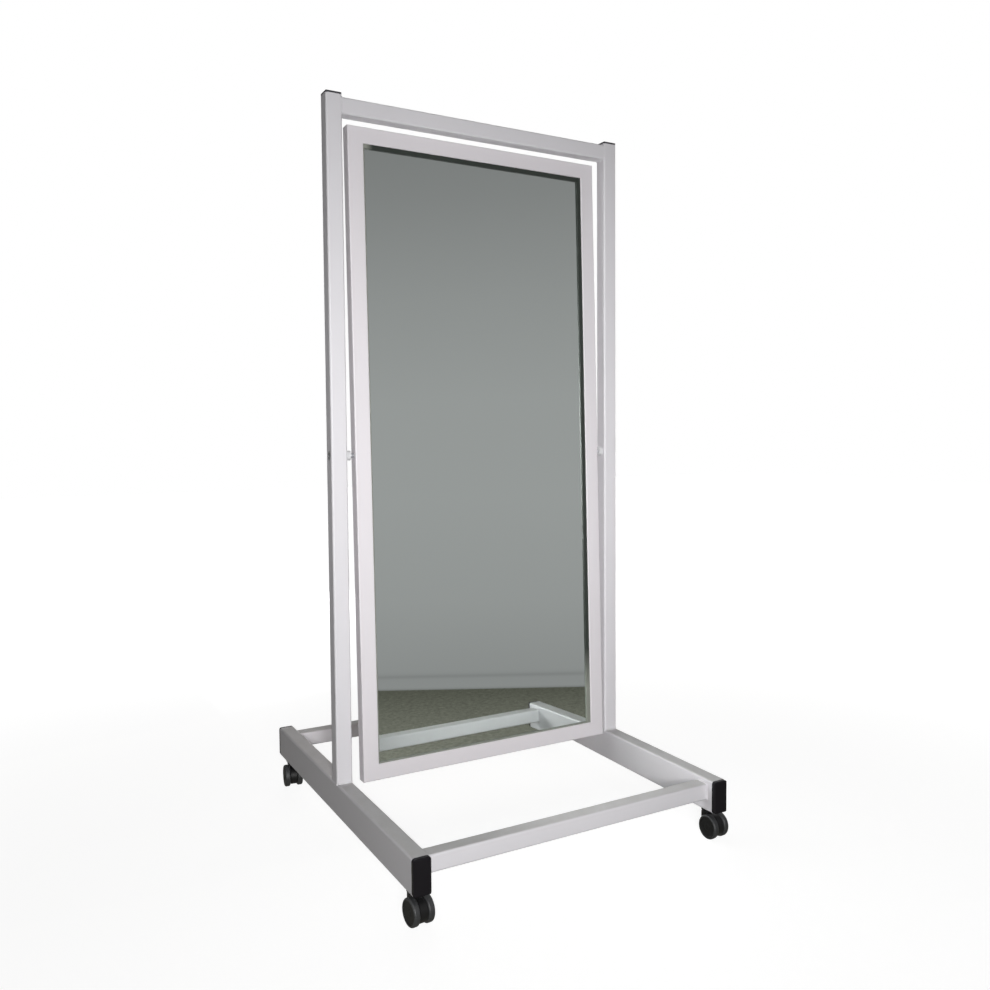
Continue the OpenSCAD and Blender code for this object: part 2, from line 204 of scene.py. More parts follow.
def math_node(tree, operation, first, second=None, clamp=False):
    node = tree.nodes.new("ShaderNodeMath")
    node.operation = operation
    node.use_clamp = clamp
    for slot, value in zip(node.inputs, (first, second)):
        if value is not None:
            feed(tree, slot, value)
    return node.outputs[0]


def noise_node(tree, vector, scale, detail=3.0, roughness=0.55):
    node = tree.nodes.new("ShaderNodeTexNoise")
    tree.links.new(vector, node.inputs["Vector"])
    for label, value in (("Scale", scale), ("Detail", detail), ("Roughness", roughness)):
        feed(tree, node.inputs[label], value)
    return node.outputs["Fac"]


def spread(tree, value, low, high):
    """Takes a 0 to 1 value to the range low to high."""
    node = tree.nodes.new("ShaderNodeMapRange")
    for label, amount in (("Value", value), ("To Min", low), ("To Max", high)):
        feed(tree, node.inputs[label], amount)
    return node.outputs["Result"]


def mixed(tree, factor, first, second):
    """From the first colour at factor 0 to the second at 1."""
    node = tree.nodes.new("ShaderNodeMix")
    node.data_type = "RGBA"
    for label, value in (("Factor", factor), ("A", first), ("B", second)):
        feed(tree, node.inputs[label], value)
    return node.outputs["Result"]


def scaled(tree, colour, factor):
    node = tree.nodes.new("ShaderNodeVectorMath")
    node.operation = "SCALE"
    tree.links.new(colour, node.inputs[0])
    tree.links.new(factor, node.inputs["Scale"])
    return node.outputs["Vector"]


def rise_past(tree, value, start, rate):
    """0 up to start, then climbs to 1 at the rate."""
    return math_node(tree, "MULTIPLY", math_node(tree, "SUBTRACT", value, start), rate, clamp=True)


def fall_until(tree, value, end, rate):
    """1 well before end, and falls to 0 there at the rate."""
    return math_node(tree, "MULTIPLY", math_node(tree, "SUBTRACT", end, value), rate, clamp=True)


def object_point(tree):
    return tree.nodes.new("ShaderNodeTexCoord").outputs["Object"]


def stretched(tree, vector, scale):
    node = tree.nodes.new("ShaderNodeMapping")
    node.inputs["Scale"].default_value = scale
    tree.links.new(vector, node.inputs["Vector"])
    return node.outputs["Vector"]


def tone_drift_group():
    """A colour that drifts a little, lighter and darker, over the surface."""
    tree, gin, gout = group_shell(
        "tone_drift",
        [("Colour", "NodeSocketColor", (0.5, 0.5, 0.5, 1)), ("Scale", "NodeSocketFloat", 6.0),
         ("Amount", "NodeSocketFloat", 0.06)],
        [("Colour", "NodeSocketColor")])
    cloud = noise_node(tree, object_point(tree), gin.outputs["Scale"], 4.0)
    low = math_node(tree, "SUBTRACT", 1.0, gin.outputs["Amount"])
    high = math_node(tree, "ADD", 1.0, gin.outputs["Amount"])
    drifted = scaled(tree, gin.outputs["Colour"], spread(tree, cloud, low, high))
    tree.links.new(drifted, gout.inputs["Colour"])
    return tree


def dust_and_shade_group():
    """Settled dust on upward faces, in soft patches, together with painted shade that darkens the
    tops.
    """
    tree, gin, gout = group_shell(
        "settled_dust",
        [("Colour", "NodeSocketColor", (0.5, 0.5, 0.5, 1)),
         ("Dust", "NodeSocketColor", (0.4, 0.4, 0.35, 1)), ("Amount", "NodeSocketFloat", 0.3)],
        [("Colour", "NodeSocketColor"), ("Mask", "NodeSocketFloat")])
    texture = tree.nodes.new("ShaderNodeTexCoord")
    split = tree.nodes.new("ShaderNodeSeparateXYZ")
    tree.links.new(texture.outputs["Normal"], split.inputs[0])
    up = rise_past(tree, split.outputs["Z"], 0.6, 2.5)
    patch = spread(tree, noise_node(tree, texture.outputs["Object"], 22.0, 6.0, 0.65), 0.35, 1.25)
    mask = math_node(tree, "MULTIPLY", math_node(tree, "MULTIPLY", up, patch),
                     gin.outputs["Amount"], clamp=True)
    dusted_and_shaded = mixed(tree, mask, gin.outputs["Colour"], gin.outputs["Dust"])
    tree.links.new(dusted_and_shaded, gout.inputs["Colour"])
    tree.links.new(mask, gout.inputs["Mask"])
    return tree


def grain_group():
    """Fine bumps, as a height, and a roughness that follows them."""
    tree, gin, gout = group_shell(
        "fine_grain",
        [("Scale", "NodeSocketFloat", 400.0), ("Roughness", "NodeSocketFloat", 0.4),
         ("Swing", "NodeSocketFloat", 0.08)],
        [("Height", "NodeSocketFloat"), ("Roughness", "NodeSocketFloat")])
    point = object_point(tree)
    fine = noise_node(tree, point, gin.outputs["Scale"], 2.0)
    broad = noise_node(tree, point, math_node(tree, "MULTIPLY", gin.outputs["Scale"], 0.06), 3.0)
    both = math_node(tree, "MULTIPLY", math_node(tree, "ADD", fine, broad), 0.5)
    low = math_node(tree, "SUBTRACT", gin.outputs["Roughness"], gin.outputs["Swing"])
    high = math_node(tree, "ADD", gin.outputs["Roughness"], gin.outputs["Swing"])
    tree.links.new(fine, gout.inputs["Height"])
    tree.links.new(spread(tree, both, low, high), gout.inputs["Roughness"])
    return tree


GROUPS = {}


def use_group(tree, name, **values):
    """Places a shared group in a material with its own values."""
    makers = {"tone_drift": tone_drift_group, "settled_dust": dust_and_shade_group,
              "fine_grain": grain_group}
    if name not in GROUPS:
        GROUPS[name] = makers[name]()
    node = tree.nodes.new("ShaderNodeGroup")
    node.node_tree = GROUPS[name]
    for label, value in values.items():
        feed(tree, node.inputs[label], value)
    return node


# -------- materials

def new_finish(name, **sockets):
    finish = bpy.data.materials.new(name)
    finish.use_nodes = True
    shader = finish.node_tree.nodes["Principled BSDF"]
    for label, value in sockets.items():
        shader.inputs[label.replace("_", " ")].default_value = value
    return finish, finish.node_tree, shader


def bump(tree, shader, height, distance, strength):
    node = tree.nodes.new("ShaderNodeBump")
    node.inputs["Strength"].default_value = strength
    node.inputs["Distance"].default_value = distance
    tree.links.new(height, node.inputs["Height"])
    tree.links.new(node.outputs["Normal"], shader.inputs["Normal"])


def powder_coat(name, colour, dust_and_shade_amount):
    coat = bpy.context.scene.mirror_coat
    finish, tree, shader = new_finish(name, Specular_IOR_Level=0.35)
    tone = use_group(tree, "tone_drift", Colour=colour, Scale=3.5, Amount=0.035)
    # Upward faces turn darker with dust and with painted shade
    dust_and_shade = use_group(tree, "settled_dust", Colour=tone.outputs["Colour"],
                     Dust=coat.dust_and_shade_colour, Amount=dust_and_shade_amount)
    grain = use_group(tree, "fine_grain", Scale=520.0, Roughness=coat.roughness, Swing=0.10)
    tree.links.new(dust_and_shade.outputs["Colour"], shader.inputs["Base Color"])
    rough = math_node(tree, "ADD", grain.outputs["Roughness"],
                      math_node(tree, "MULTIPLY", dust_and_shade.outputs["Mask"], 0.4), clamp=True)
    tree.links.new(rough, shader.inputs["Roughness"])
    bump(tree, shader, grain.outputs["Height"], coat.peel_height, 0.5)
    return finish


def moulded(name, colour, roughness, scale=900.0, depth=0.00008, drift=0.20, gloss=0.30):
    """Moulded plastic or rubber: fine texture and a slight drift in tone and gloss."""
    finish, tree, shader = new_finish(name, Specular_IOR_Level=gloss)
    tone = use_group(tree, "tone_drift", Colour=colour, Scale=30.0, Amount=drift)
    grain = use_group(tree, "fine_grain", Scale=scale, Roughness=roughness, Swing=0.12)
    tree.links.new(tone.outputs["Colour"], shader.inputs["Base Color"])
    tree.links.new(grain.outputs["Roughness"], shader.inputs["Roughness"])
    bump(tree, shader, grain.outputs["Height"], depth, 0.6)
    return finish


def seal_in_painted_light(dark, painted_lit):
    """Seal rubber, dark along the top and right as painted shade of the frame's recess, paler along
    the left, the bottom and low on the right as painted light.

    Pale flecks on its inner edge at the right, up to a little above mid-height, are a painted
    highlight.
    """
    finish = moulded("seal_rubber", dark, 0.38, 500.0, 0.0001)
    tree = finish.node_tree
    base = tree.nodes["Principled BSDF"].inputs["Base Color"]
    split = tree.nodes.new("ShaderNodeSeparateXYZ")
    tree.links.new(object_point(tree), split.inputs[0])
    across, height = split.outputs["X"], split.outputs["Z"]
    # Painted light: the seal turns paler below this height and left of this x
    painted_lit_below, painted_lit_left_of = 0.40, -0.29      # z and x up to which it is greyed
    glint_x, glint_z = 0.302, 1.15              # where the flecks end, outwards and upwards
    greyed = math_node(tree, "MAXIMUM", fall_until(tree, height, painted_lit_below, 9.0),
                       fall_until(tree, across, painted_lit_left_of, 60.0))
    # Painted highlight: pale glint flecks along the inner edge at the right, up to a little above
    # mid-height
    glint_noise = noise_node(tree, object_point(tree), 260.0, 4.0, 0.8)
    painted_glint = rise_past(tree, glint_noise, 0.56, 14.0)
    inner_edge = math_node(tree, "SUBTRACT", 1.0, rise_past(tree, across, glint_x, 900.0))
    painted_glint = math_node(tree, "MULTIPLY", math_node(tree, "MULTIPLY", painted_glint, inner_edge),
                      fall_until(tree, height, glint_z, 3.0))
    painted_light_mask = math_node(tree, "MAXIMUM", greyed, painted_glint)
    tree.links.new(mixed(tree, painted_light_mask, base.links[0].from_socket, painted_lit), base)
    return finish


def metal(name, colour, roughness, stretch, drift=0.08):
    """Drawn or plated metal with marks that run along the stretch."""
    finish, tree, shader = new_finish(name, Metallic=1.0)
    marks = noise_node(tree, stretched(tree, object_point(tree), stretch), 60.0, 3.0)
    tone = use_group(tree, "tone_drift", Colour=colour, Scale=45.0, Amount=drift)
    tree.links.new(tone.outputs["Colour"], shader.inputs["Base Color"])
    tree.links.new(spread(tree, marks, roughness - 0.10, roughness + 0.12),
                   shader.inputs["Roughness"])
    bump(tree, shader, marks, 0.00006, 0.5)
    return finish


def silvered_glass(colour):
    """Mirror glass with the faint haze of a wiped surface."""
    finish, tree, shader = new_finish("silvered_glass", Metallic=1.0)
    point = object_point(tree)
    haze = noise_node(tree, stretched(tree, point, (1.0, 1.0, 0.35)), 5.0, 5.0, 0.6)
    tree.links.new(spread(tree, haze, 0.0, 0.045), shader.inputs["Roughness"])
    tone = use_group(tree, "tone_drift", Colour=colour, Scale=1.6, Amount=0.02)
    tree.links.new(tone.outputs["Colour"], shader.inputs["Base Color"])
    return finish


def hardboard(colour):
    """Brown fibre board with its screen pattern and darker fibres."""
    finish, tree, shader = new_finish("hardboard")
    point = object_point(tree)
    fibre = noise_node(tree, stretched(tree, point, (3.0, 1.0, 1.0)), 160.0, 6.0, 0.7)
    tone = use_group(tree, "tone_drift", Colour=colour, Scale=9.0, Amount=0.12)
    dark_fibre = (0.07, 0.037, 0.02)
    brown = mixed(tree, spread(tree, fibre, -0.35, 0.75), tone.outputs["Colour"], dark_fibre)
    tree.links.new(brown, shader.inputs["Base Color"])
    tree.links.new(spread(tree, fibre, 0.60, 0.85), shader.inputs["Roughness"])
    heights = []
    for direction in ("X", "Z"):
        wave = tree.nodes.new("ShaderNodeTexWave")
        wave.bands_direction = direction
        wave.inputs["Scale"].default_value = 95.0
        wave.inputs["Distortion"].default_value = 0.6
        wave.inputs["Detail Scale"].default_value = 2.0
        tree.links.new(point, wave.inputs["Vector"])
        heights.append(wave.outputs["Fac"])
    screen = math_node(tree, "ADD", math_node(tree, "MULTIPLY", heights[0], heights[1]),
                       math_node(tree, "MULTIPLY", fibre, 0.4))
    bump(tree, shader, screen, 0.0003, 0.8)
    return finish


def soft_tread(name, colour):
    """Tread rubber, scuffed paler where it rolls and dusty in patches."""
    finish, tree, shader = new_finish(name)
    tone = use_group(tree, "tone_drift", Colour=colour, Scale=70.0, Amount=0.16)
    scuff = noise_node(tree, object_point(tree), 190.0, 6.0, 0.7)
    pale_scuff = (0.085, 0.085, 0.082)
    scuffed = mixed(tree, spread(tree, scuff, -0.45, 0.55), tone.outputs["Colour"], pale_scuff)
    tree.links.new(scuffed, shader.inputs["Base Color"])
    tree.links.new(spread(tree, scuff, 0.38, 0.60), shader.inputs["Roughness"])
    bump(tree, shader, scuff, 0.0002, 0.5)
    return finish


def give(finish, *names):
    """Puts a finish on CAD nodes."""
    for name in names:
        node = NODES[name]
        if not node.material_slots:
            node.data.materials.append(finish)
        for slot in node.material_slots:
            slot.material = finish


# -------- mesh helpers

def placed(name, data):
    """A new object in the scene."""
    thing = bpy.data.objects.new(name, data)
    bpy.context.scene.collection.objects.link(thing)
    return thing


def mesh_piece(name, mesh, finish, body):
    piece = placed(name, mesh)
    if not mesh.materials:
        mesh.materials.append(finish)
    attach(piece, body)
    return piece


def polylines(name, lines):
    """A mesh of bare edges: each line is (points, closed)."""
    points, edges = [], []
    for line, closed in lines:
        start = len(points)
        points += line
        edges += [(start + i, start + i + 1) for i in range(len(line) - 1)]
        if closed:
            edges.append((len(points) - 1, start))
    mesh = bpy.data.meshes.new(name)
    mesh.from_pydata([tuple(p) for p in points], edges, [])
    return mesh


def grown(name, mesh, tree, values, finish, body):
    """Runs a geometry tree on a mesh and returns its result as a plain piece on a body."""
    source = placed(name + "_path", mesh)
    modifier = source.modifiers.new("shape", "NODES")
    modifier.node_group = tree
    sockets = {s.name: s.identifier for s in tree.interface.items_tree if s.in_out == "INPUT"}
    for label, value in values.items():
        modifier[sockets[label]] = value
    modifier[sockets["Finish"]] = finish
    depsgraph = bpy.context.evaluated_depsgraph_get()
    result = bpy.data.meshes.new_from_object(source.evaluated_get(depsgraph))
    source.modifiers.clear()
    bpy.data.objects.remove(source)
    result.name = name
    return mesh_piece(name, result, finish, body)


def geometry_shell(name, inputs):
    return group_shell(
        name,
        [("Geometry", "NodeSocketGeometry", None), *inputs,
         ("Finish", "NodeSocketMaterial", None)],
        [("Geometry", "NodeSocketGeometry")], "GeometryNodeTree")


def finish_tree(tree, gin, gout, geometry):
    """Ends a tree: real geometry, smooth, with its finish."""
    real = tree.nodes.new("GeometryNodeRealizeInstances")
    smooth = tree.nodes.new("GeometryNodeSetShadeSmooth")
    paint = tree.nodes.new("GeometryNodeSetMaterial")
    tree.links.new(geometry, real.inputs["Geometry"])
    tree.links.new(real.outputs["Geometry"], smooth.inputs["Geometry"])
    tree.links.new(smooth.outputs["Geometry"], paint.inputs["Geometry"])
    tree.links.new(gin.outputs["Finish"], paint.inputs["Material"])
    tree.links.new(paint.outputs["Geometry"], gout.inputs["Geometry"])


def weld_tree():
    """Beads along edges: a tube whose radius ripples, with a little seeded unevenness."""
    tree, gin, gout = geometry_shell(
        "weld_bead",
        [("Radius", "NodeSocketFloat", 0.003), ("Ripple Pitch", "NodeSocketFloat", 0.003),
         ("Ripple", "NodeSocketFloat", 0.14), ("Seed", "NodeSocketFloat", 4.0)])
    link = tree.links.new
    curve = tree.nodes.new("GeometryNodeMeshToCurve")
    link(gin.outputs["Geometry"], curve.inputs["Mesh"])
    step = math_node(tree, "MULTIPLY", gin.outputs["Ripple Pitch"], 0.25)
    even = tree.nodes.new("GeometryNodeResampleCurve")
    even.mode = "LENGTH"
    link(curve.outputs["Curve"], even.inputs["Curve"])
    link(step, even.inputs["Length"])
    along = tree.nodes.new("GeometryNodeSplineParameter").outputs["Length"]
    turns = math_node(tree, "DIVIDE", along, gin.outputs["Ripple Pitch"])
    wave = math_node(tree, "SINE", math_node(tree, "MULTIPLY", turns, math.pi))
    ripple = math_node(tree, "ABSOLUTE", wave)
    place = tree.nodes.new("GeometryNodeInputPosition")
    uneven = tree.nodes.new("ShaderNodeTexNoise")
    uneven.noise_dimensions = "4D"
    uneven.inputs["Scale"].default_value = 120.0
    link(place.outputs["Position"], uneven.inputs["Vector"])
    link(gin.outputs["Seed"], uneven.inputs["W"])
    swell = math_node(tree, "ADD", ripple, math_node(tree, "SUBTRACT", uneven.outputs["Fac"], 1.0))
    factor = math_node(tree, "ADD", 1.0, math_node(tree, "MULTIPLY", swell, gin.outputs["Ripple"]))
    size = math_node(tree, "MULTIPLY", factor, gin.outputs["Radius"])
    ring = tree.nodes.new("GeometryNodeCurvePrimitiveCircle")
    ring.inputs["Resolution"].default_value = 12
    ring.inputs["Radius"].default_value = 1.0
    tube = tree.nodes.new("GeometryNodeCurveToMesh")
    tube.inputs["Fill Caps"].default_value = True
    link(even.outputs["Curve"], tube.inputs["Curve"])
    link(ring.outputs["Curve"], tube.inputs["Profile Curve"])
    link(size, tube.inputs["Scale"])
    finish_tree(tree, gin, gout, tube.outputs["Mesh"])
    return tree


def screw_tree():
    """One screw on each point, turned to its own axis and to its own angle."""
    tree, gin, gout = geometry_shell(
        "strip_screw", [("Screw", "NodeSocketObject", None), ("Size", "NodeSocketFloat", 1.0),
                        ("Seed", "NodeSocketInt", 7)])
    link = tree.links.new
    points = tree.nodes.new("GeometryNodeMeshToPoints")
    link(gin.outputs["Geometry"], points.inputs["Mesh"])
    axis = tree.nodes.new("GeometryNodeInputNamedAttribute")
    axis.data_type = "FLOAT_VECTOR"
    axis.inputs["Name"].default_value = "axis"
    facing = tree.nodes.new("FunctionNodeAlignRotationToVector")
    facing.axis = "Z"
    link(axis.outputs["Attribute"], facing.inputs["Vector"])
    chance = tree.nodes.new("FunctionNodeRandomValue")
    chance.data_type = "FLOAT"
    chance.inputs[3].default_value = math.pi / 2
    link(gin.outputs["Seed"], chance.inputs["Seed"])
    spin = tree.nodes.new("FunctionNodeAxisAngleToRotation")
    spin.inputs["Axis"].default_value = (0, 0, 1)
    link(chance.outputs[1], spin.inputs["Angle"])
    turned = tree.nodes.new("FunctionNodeRotateRotation")
    turned.rotation_space = "LOCAL"
    link(facing.outputs["Rotation"], turned.inputs["Rotation"])
    link(spin.outputs["Rotation"], turned.inputs["Rotate By"])
    what = tree.nodes.new("GeometryNodeObjectInfo")
    link(gin.outputs["Screw"], what.inputs["Object"])
    place = tree.nodes.new("GeometryNodeInstanceOnPoints")
    link(points.outputs["Points"], place.inputs["Points"])
    link(what.outputs["Geometry"], place.inputs["Instance"])
    link(turned.outputs["Rotation"], place.inputs["Rotation"])
    link(gin.outputs["Size"], place.inputs["Scale"])
    finish_tree(tree, gin, gout, place.outputs["Instances"])
    return tree


# -------- the stand

def rounded_square(x, centre_y, centre_z):
    """The outline of the square tube, in the plane x = constant."""
    flat = TUBE_HALF - TUBE_CORNER
    points = []
    for k, (sy, sz) in enumerate(((1, 1), (-1, 1), (-1, -1), (1, -1))):
        for i in range(5):
            angle = math.radians(90 * k + 22.5 * i)
            points.append((x, centre_y + sy * flat + TUBE_CORNER * math.cos(angle),
                           centre_z + sz * flat + TUBE_CORNER * math.sin(angle)))
    return points


class FLOORMIRROR_OT_coat_stand(bpy.types.Operator):
    """Powder coats the stand's tubes"""
    bl_idname = "floormirror.coat_stand"
    bl_label = "Coat the Stand"

    def execute(self, context):
        coat = context.scene.mirror_coat
        finish = powder_coat("stand_powder_coat", coat.stand_colour, 0.45)
        give(finish, "left_side_rail", "right_side_rail", "front_crossbar", "rear_crossbar",
             "left_upright", "right_upright", "top_crossbar")
        return {"FINISHED"}


class FLOORMIRROR_OT_weld_stand(bpy.types.Operator):
    """Lays the weld beads where the stand's tubes meet"""
    bl_idname = "floormirror.weld_stand"
    bl_label = "Weld the Stand"

    def execute(self, context):
        coat = context.scene.mirror_coat
        seat = RAIL_HIGH.z
        inner = BAR_HIGH.x
        centre = (POST_LOW.x + POST_HIGH.x) / 2
        run = 0.0165        # half the length of a bead across a tube's flat
        flank = 0.0187      # how far out a bead lies over a rounded corner
        dip = 0.0012        # how deep it lies there
        inset = 0.004       # how far it stays from the tube's corners
        lines = []
        for side in (-1, 1):
            for y in (POST_LOW.y, POST_HIGH.y):
                ends = [(side * (centre - run), y, seat), (side * (centre + run), y, seat)]
                lines.append((ends, False))
            for x in (side * (centre - flank), side * (centre + flank)):
                lines.append(([(x, -run, seat - dip), (x, run, seat - dip)], False))
            for z in (TOP_LOW.z, TOP_HIGH.z):
                lines.append(([(side * inner, -run, z), (side * inner, run, z)], False))
            x = side * (inner + dip)
            for y in (-flank, flank):
                lines.append(([(x, y, TOP_LOW.z + inset), (x, y, TOP_HIGH.z - inset)], False))
            for low, high in ((BAR_LOW, BAR_HIGH), (REAR_LOW, REAR_HIGH)):
                loop = rounded_square(side * inner, (low.y + high.y) / 2, (low.z + high.z) / 2)
                lines.append((loop, True))
        finish = bpy.data.materials["stand_powder_coat"]
        grown("weld_beads", polylines("weld_paths", lines), weld_tree(),
              {"Radius": coat.bead_radius, "Ripple Pitch": coat.ripple_pitch,
               "Ripple": coat.ripple_depth, "Seed": 4.0}, finish, "stand")
        return {"FINISHED"}


class FLOORMIRROR_OT_cap_tubes(bpy.types.Operator):
    """Finishes the black end caps of the uprights and rails"""
    bl_idname = "floormirror.cap_tubes"
    bl_label = "Finish the Tube Caps"

    def execute(self, context):
        casters = context.scene.mirror_caster
        clean = moulded("cap_plastic", casters.cap_colour, 0.46, gloss=0.20)
        # Painted highlight: the uprights' caps take a paler plastic than the rails' caps
        brighter = moulded("dusty_cap_plastic", casters.top_cap_highlight_colour, 0.50)
        give(clean, "front_left_rail_cap", "front_right_rail_cap", "rear_left_rail_cap",
             "rear_right_rail_cap")
        give(brighter, "left_upright_cap", "right_upright_cap")
        return {"FINISHED"}


# -------- the mirror

def panel_matrix():
    """From the mirror's own place (y is the depth from its front) to the scene's."""
    panel = bpy.context.scene.mirror_panel
    return (Matrix.Translation((0, 0, panel.pivot_height))
            @ Matrix.Rotation(-panel.lean, 4, "X")
            @ Matrix.Translation((0, -panel.pivot_depth, -panel.pivot_rise)))


class FLOORMIRROR_OT_coat_frame(bpy.types.Operator):
    """Powder coats the mirror's frame"""
    bl_idname = "floormirror.coat_frame"
    bl_label = "Coat the Mirror Frame"

    def execute(self, context):
        finish = powder_coat("frame_powder_coat", context.scene.mirror_coat.frame_colour, 0.12)
        give(finish, "mirror_left_stile", "mirror_right_stile", "mirror_top_rail",
             "mirror_bottom_rail")
        return {"FINISHED"}


class FLOORMIRROR_OT_silver_glass(bpy.types.Operator):
    """Silvers the glass"""
    bl_idname = "floormirror.silver_glass"
    bl_label = "Silver the Glass"

    def execute(self, context):
        give(silvered_glass(context.scene.mirror_panel.glass_colour), "mirror_glass")
        return {"FINISHED"}


class FLOORMIRROR_OT_seal_glass(bpy.types.Operator):
    """Lays the dark glazing seal, whose inner edge wanders a little; its wider dark band at the top
    and right is painted shade of the frame's recess
    """
    bl_idname = "floormirror.seal_glass"
    bl_label = "Seal the Glass"

    def execute(self, context):
        panel = context.scene.mirror_panel
        half_w, half_h = panel.open_width / 2, panel.open_height / 2
        clear = 0.0001                              # clear of the frame's inner walls
        swing, waves, bevel = 0.0007, 22, 0.0010    # how its inner edge wanders and slopes
        w, h = half_w - clear, half_h - clear
        left, low = panel.seal_narrow - half_w, panel.seal_narrow - half_h
        right, high = half_w - panel.seal_wide, half_h - panel.seal_wide
        outer = [(-w, -h), (w, -h), (w, h), (-w, h)]
        inner = [(left, low), (right, low), (right, high), (left, high)]
        inwards = [(0, 1), (-1, 0), (0, -1), (1, 0)]
        front, lip, shoulder, back = 0.0030, 0.0032, 0.0042, 0.0080     # depths of the bead
        rings = []
        for k, count in enumerate((48, 120, 48, 120)):
            for i in range(count):
                share = i / count
                o = Vector(outer[k]).lerp(Vector(outer[(k + 1) % 4]), share)
                n = Vector(inner[k]).lerp(Vector(inner[(k + 1) % 4]), share)
                inward = Vector(inwards[k])
                edge = min(1.0, 6 * share, 6 * (1 - share))
                wander = swing * edge * noise.noise(Vector((n.x * waves, n.y * waves, 3.1 + k)))
                n = n - inward * abs(wander)
                slope = n - inward * bevel
                rings.append([(o.x, front, o.y), (slope.x, lip, slope.y), (n.x, shoulder, n.y),
                              (n.x, back, n.y), (o.x, back, o.y)])
        total, sides = len(rings), len(rings[0])
        points = [p for ring in rings for p in ring]
        faces = []
        for i in range(total):
            here, there = i * sides, (i + 1) % total * sides
            for j in range(sides):
                after = (j + 1) % sides
                faces.append((here + j, here + after, there + after, there + j))
        mesh = bpy.data.meshes.new("glazing_seal_bead")
        mesh.from_pydata(points, [], faces)
        mesh.transform(panel_matrix())
        work = bmesh.new()
        work.from_mesh(mesh)
        bmesh.ops.recalc_face_normals(work, faces=work.faces)
        work.to_mesh(mesh)
        work.free()
        finish = seal_in_painted_light(panel.seal_colour, panel.seal_painted_lit)
        piece = mesh_piece("glazing_seal_bead", mesh, finish, "mirror")
        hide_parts("glazing_seal")
        return {"FINISHED"}


class FLOORMIRROR_OT_back_mirror(bpy.types.Operator):
    """Finishes the backing board and the strips that hold it"""
    bl_idname = "floormirror.back_mirror"
    bl_label = "Finish the Mirror's Back"

    def execute(self, context):
        give(hardboard(context.scene.mirror_panel.board_colour), "backing_board")
        colour = context.scene.mirror_panel.strip_colour
        upright = metal("drawn_aluminium_upright", colour, 0.34, (6, 6, 0.15))
        level = metal("drawn_aluminium_level", colour, 0.34, (0.15, 6, 6))
        give(upright, "left_strip", "right_strip")
        give(level, "top_strip", "bottom_strip")
        return {"FINISHED"}


def pan_screw():
    """A pan head screw with a cross recess, its head up from z = 0, built by lathe and cut."""
    work = bmesh.new()
    top = 0.0024
    profile = [(0.0, top), (0.0014, 0.00238), (0.0026, 0.0021), (0.0035, 0.0015),
               (0.0040, 0.0006), (0.0040, 0.0), (0.0016, 0.0), (0.0016, -0.0085), (0.0, -0.0088)]
    slot = (0.0040, 0.0008, 0.0026)     # length, width and depth of one bar of the cross
    count = 20
    rings = []
    for r, z in profile:
        if r == 0:
            rings.append([work.verts.new((0, 0, z))])
        else:
            rings.append([work.verts.new((r * math.cos(2 * math.pi * i / count),
                                          r * math.sin(2 * math.pi * i / count), z))
                          for i in range(count)])
    for first, second in zip(rings, rings[1:]):
        for i in range(count):
            j = (i + 1) % count
            corners = [first[i % len(first)], second[i % len(second)], second[j % len(second)],
                       first[j % len(first)]]
            work.faces.new(list(dict.fromkeys(corners)))
    bmesh.ops.recalc_face_normals(work, faces=work.faces)
    mesh = bpy.data.meshes.new("pan_screw")
    work.to_mesh(mesh)
    work.free()
    screw = placed("pan_screw", mesh)
    cross = bmesh.new()
    for turn in (0, math.pi / 2):
        bmesh.ops.create_cube(cross, size=1.0, matrix=Matrix.Rotation(turn, 4, "Z")
                              @ Matrix.Translation((0, 0, top))
                              @ Matrix.Diagonal((*slot, 1)))
    blade = bpy.data.meshes.new("cross_cutter")
    cross.to_mesh(blade)
    cross.free()
    cutter = placed("cross_cutter", blade)
    cut = screw.modifiers.new("recess", "BOOLEAN")
    cut.object = cutter
    cut.operation = "DIFFERENCE"
    cut.solver = "EXACT"
    cut.use_self = True
    result = bpy.data.meshes.new_from_object(
        screw.evaluated_get(bpy.context.evaluated_depsgraph_get()))
    screw.modifiers.clear()
    screw.data = result
    bpy.data.objects.remove(cutter)
    return screw


class FLOORMIRROR_OT_screw_strips(bpy.types.Operator):
    """Sets a cross-head screw at each hole of the retaining strips"""
    bl_idname = "floormirror.screw_strips"
    bl_label = "Screw the Strips"

    def execute(self, context):
        panel = context.scene.mirror_panel
        w, h = panel.open_width / 2, panel.open_height / 2
        depth, seat, margin = panel.screw_depth, panel.screw_seat, panel.screw_margin
        tall, wide = 6, 3       # screws in an upright strip and in a level one
        spots = []
        for side in (-1, 1):
            for i in range(tall):
                z = -h + margin + i * (2 * h - 2 * margin) / (tall - 1)
                spots.append(((side * (w - seat), depth, z), (-side, 0, 0)))
            for i in range(wide):
                x = -w + margin + i * (2 * w - 2 * margin) / (wide - 1)
                spots.append(((x, depth, side * (h - seat)), (0, 0, -side)))
        place = panel_matrix()
        turn = place.to_3x3()
        mesh = polylines("screw_points", [([place @ Vector(p)], False) for p, _ in spots])
        axis = mesh.attributes.new("axis", "FLOAT_VECTOR", "POINT")
        for i, (_, direction) in enumerate(spots):
            axis.data[i].vector = turn @ Vector(direction)
        screw = pan_screw()
        finish = metal("zinc_plate", panel.screw_colour, 0.32, (1, 1, 1), 0.14)
        piece = grown("strip_screw_set", mesh, screw_tree(),
                      {"Screw": screw, "Size": 1.0, "Seed": 7}, finish, "mirror")
        bpy.data.objects.remove(screw)
        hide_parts("strip_screws")
        return {"FINISHED"}


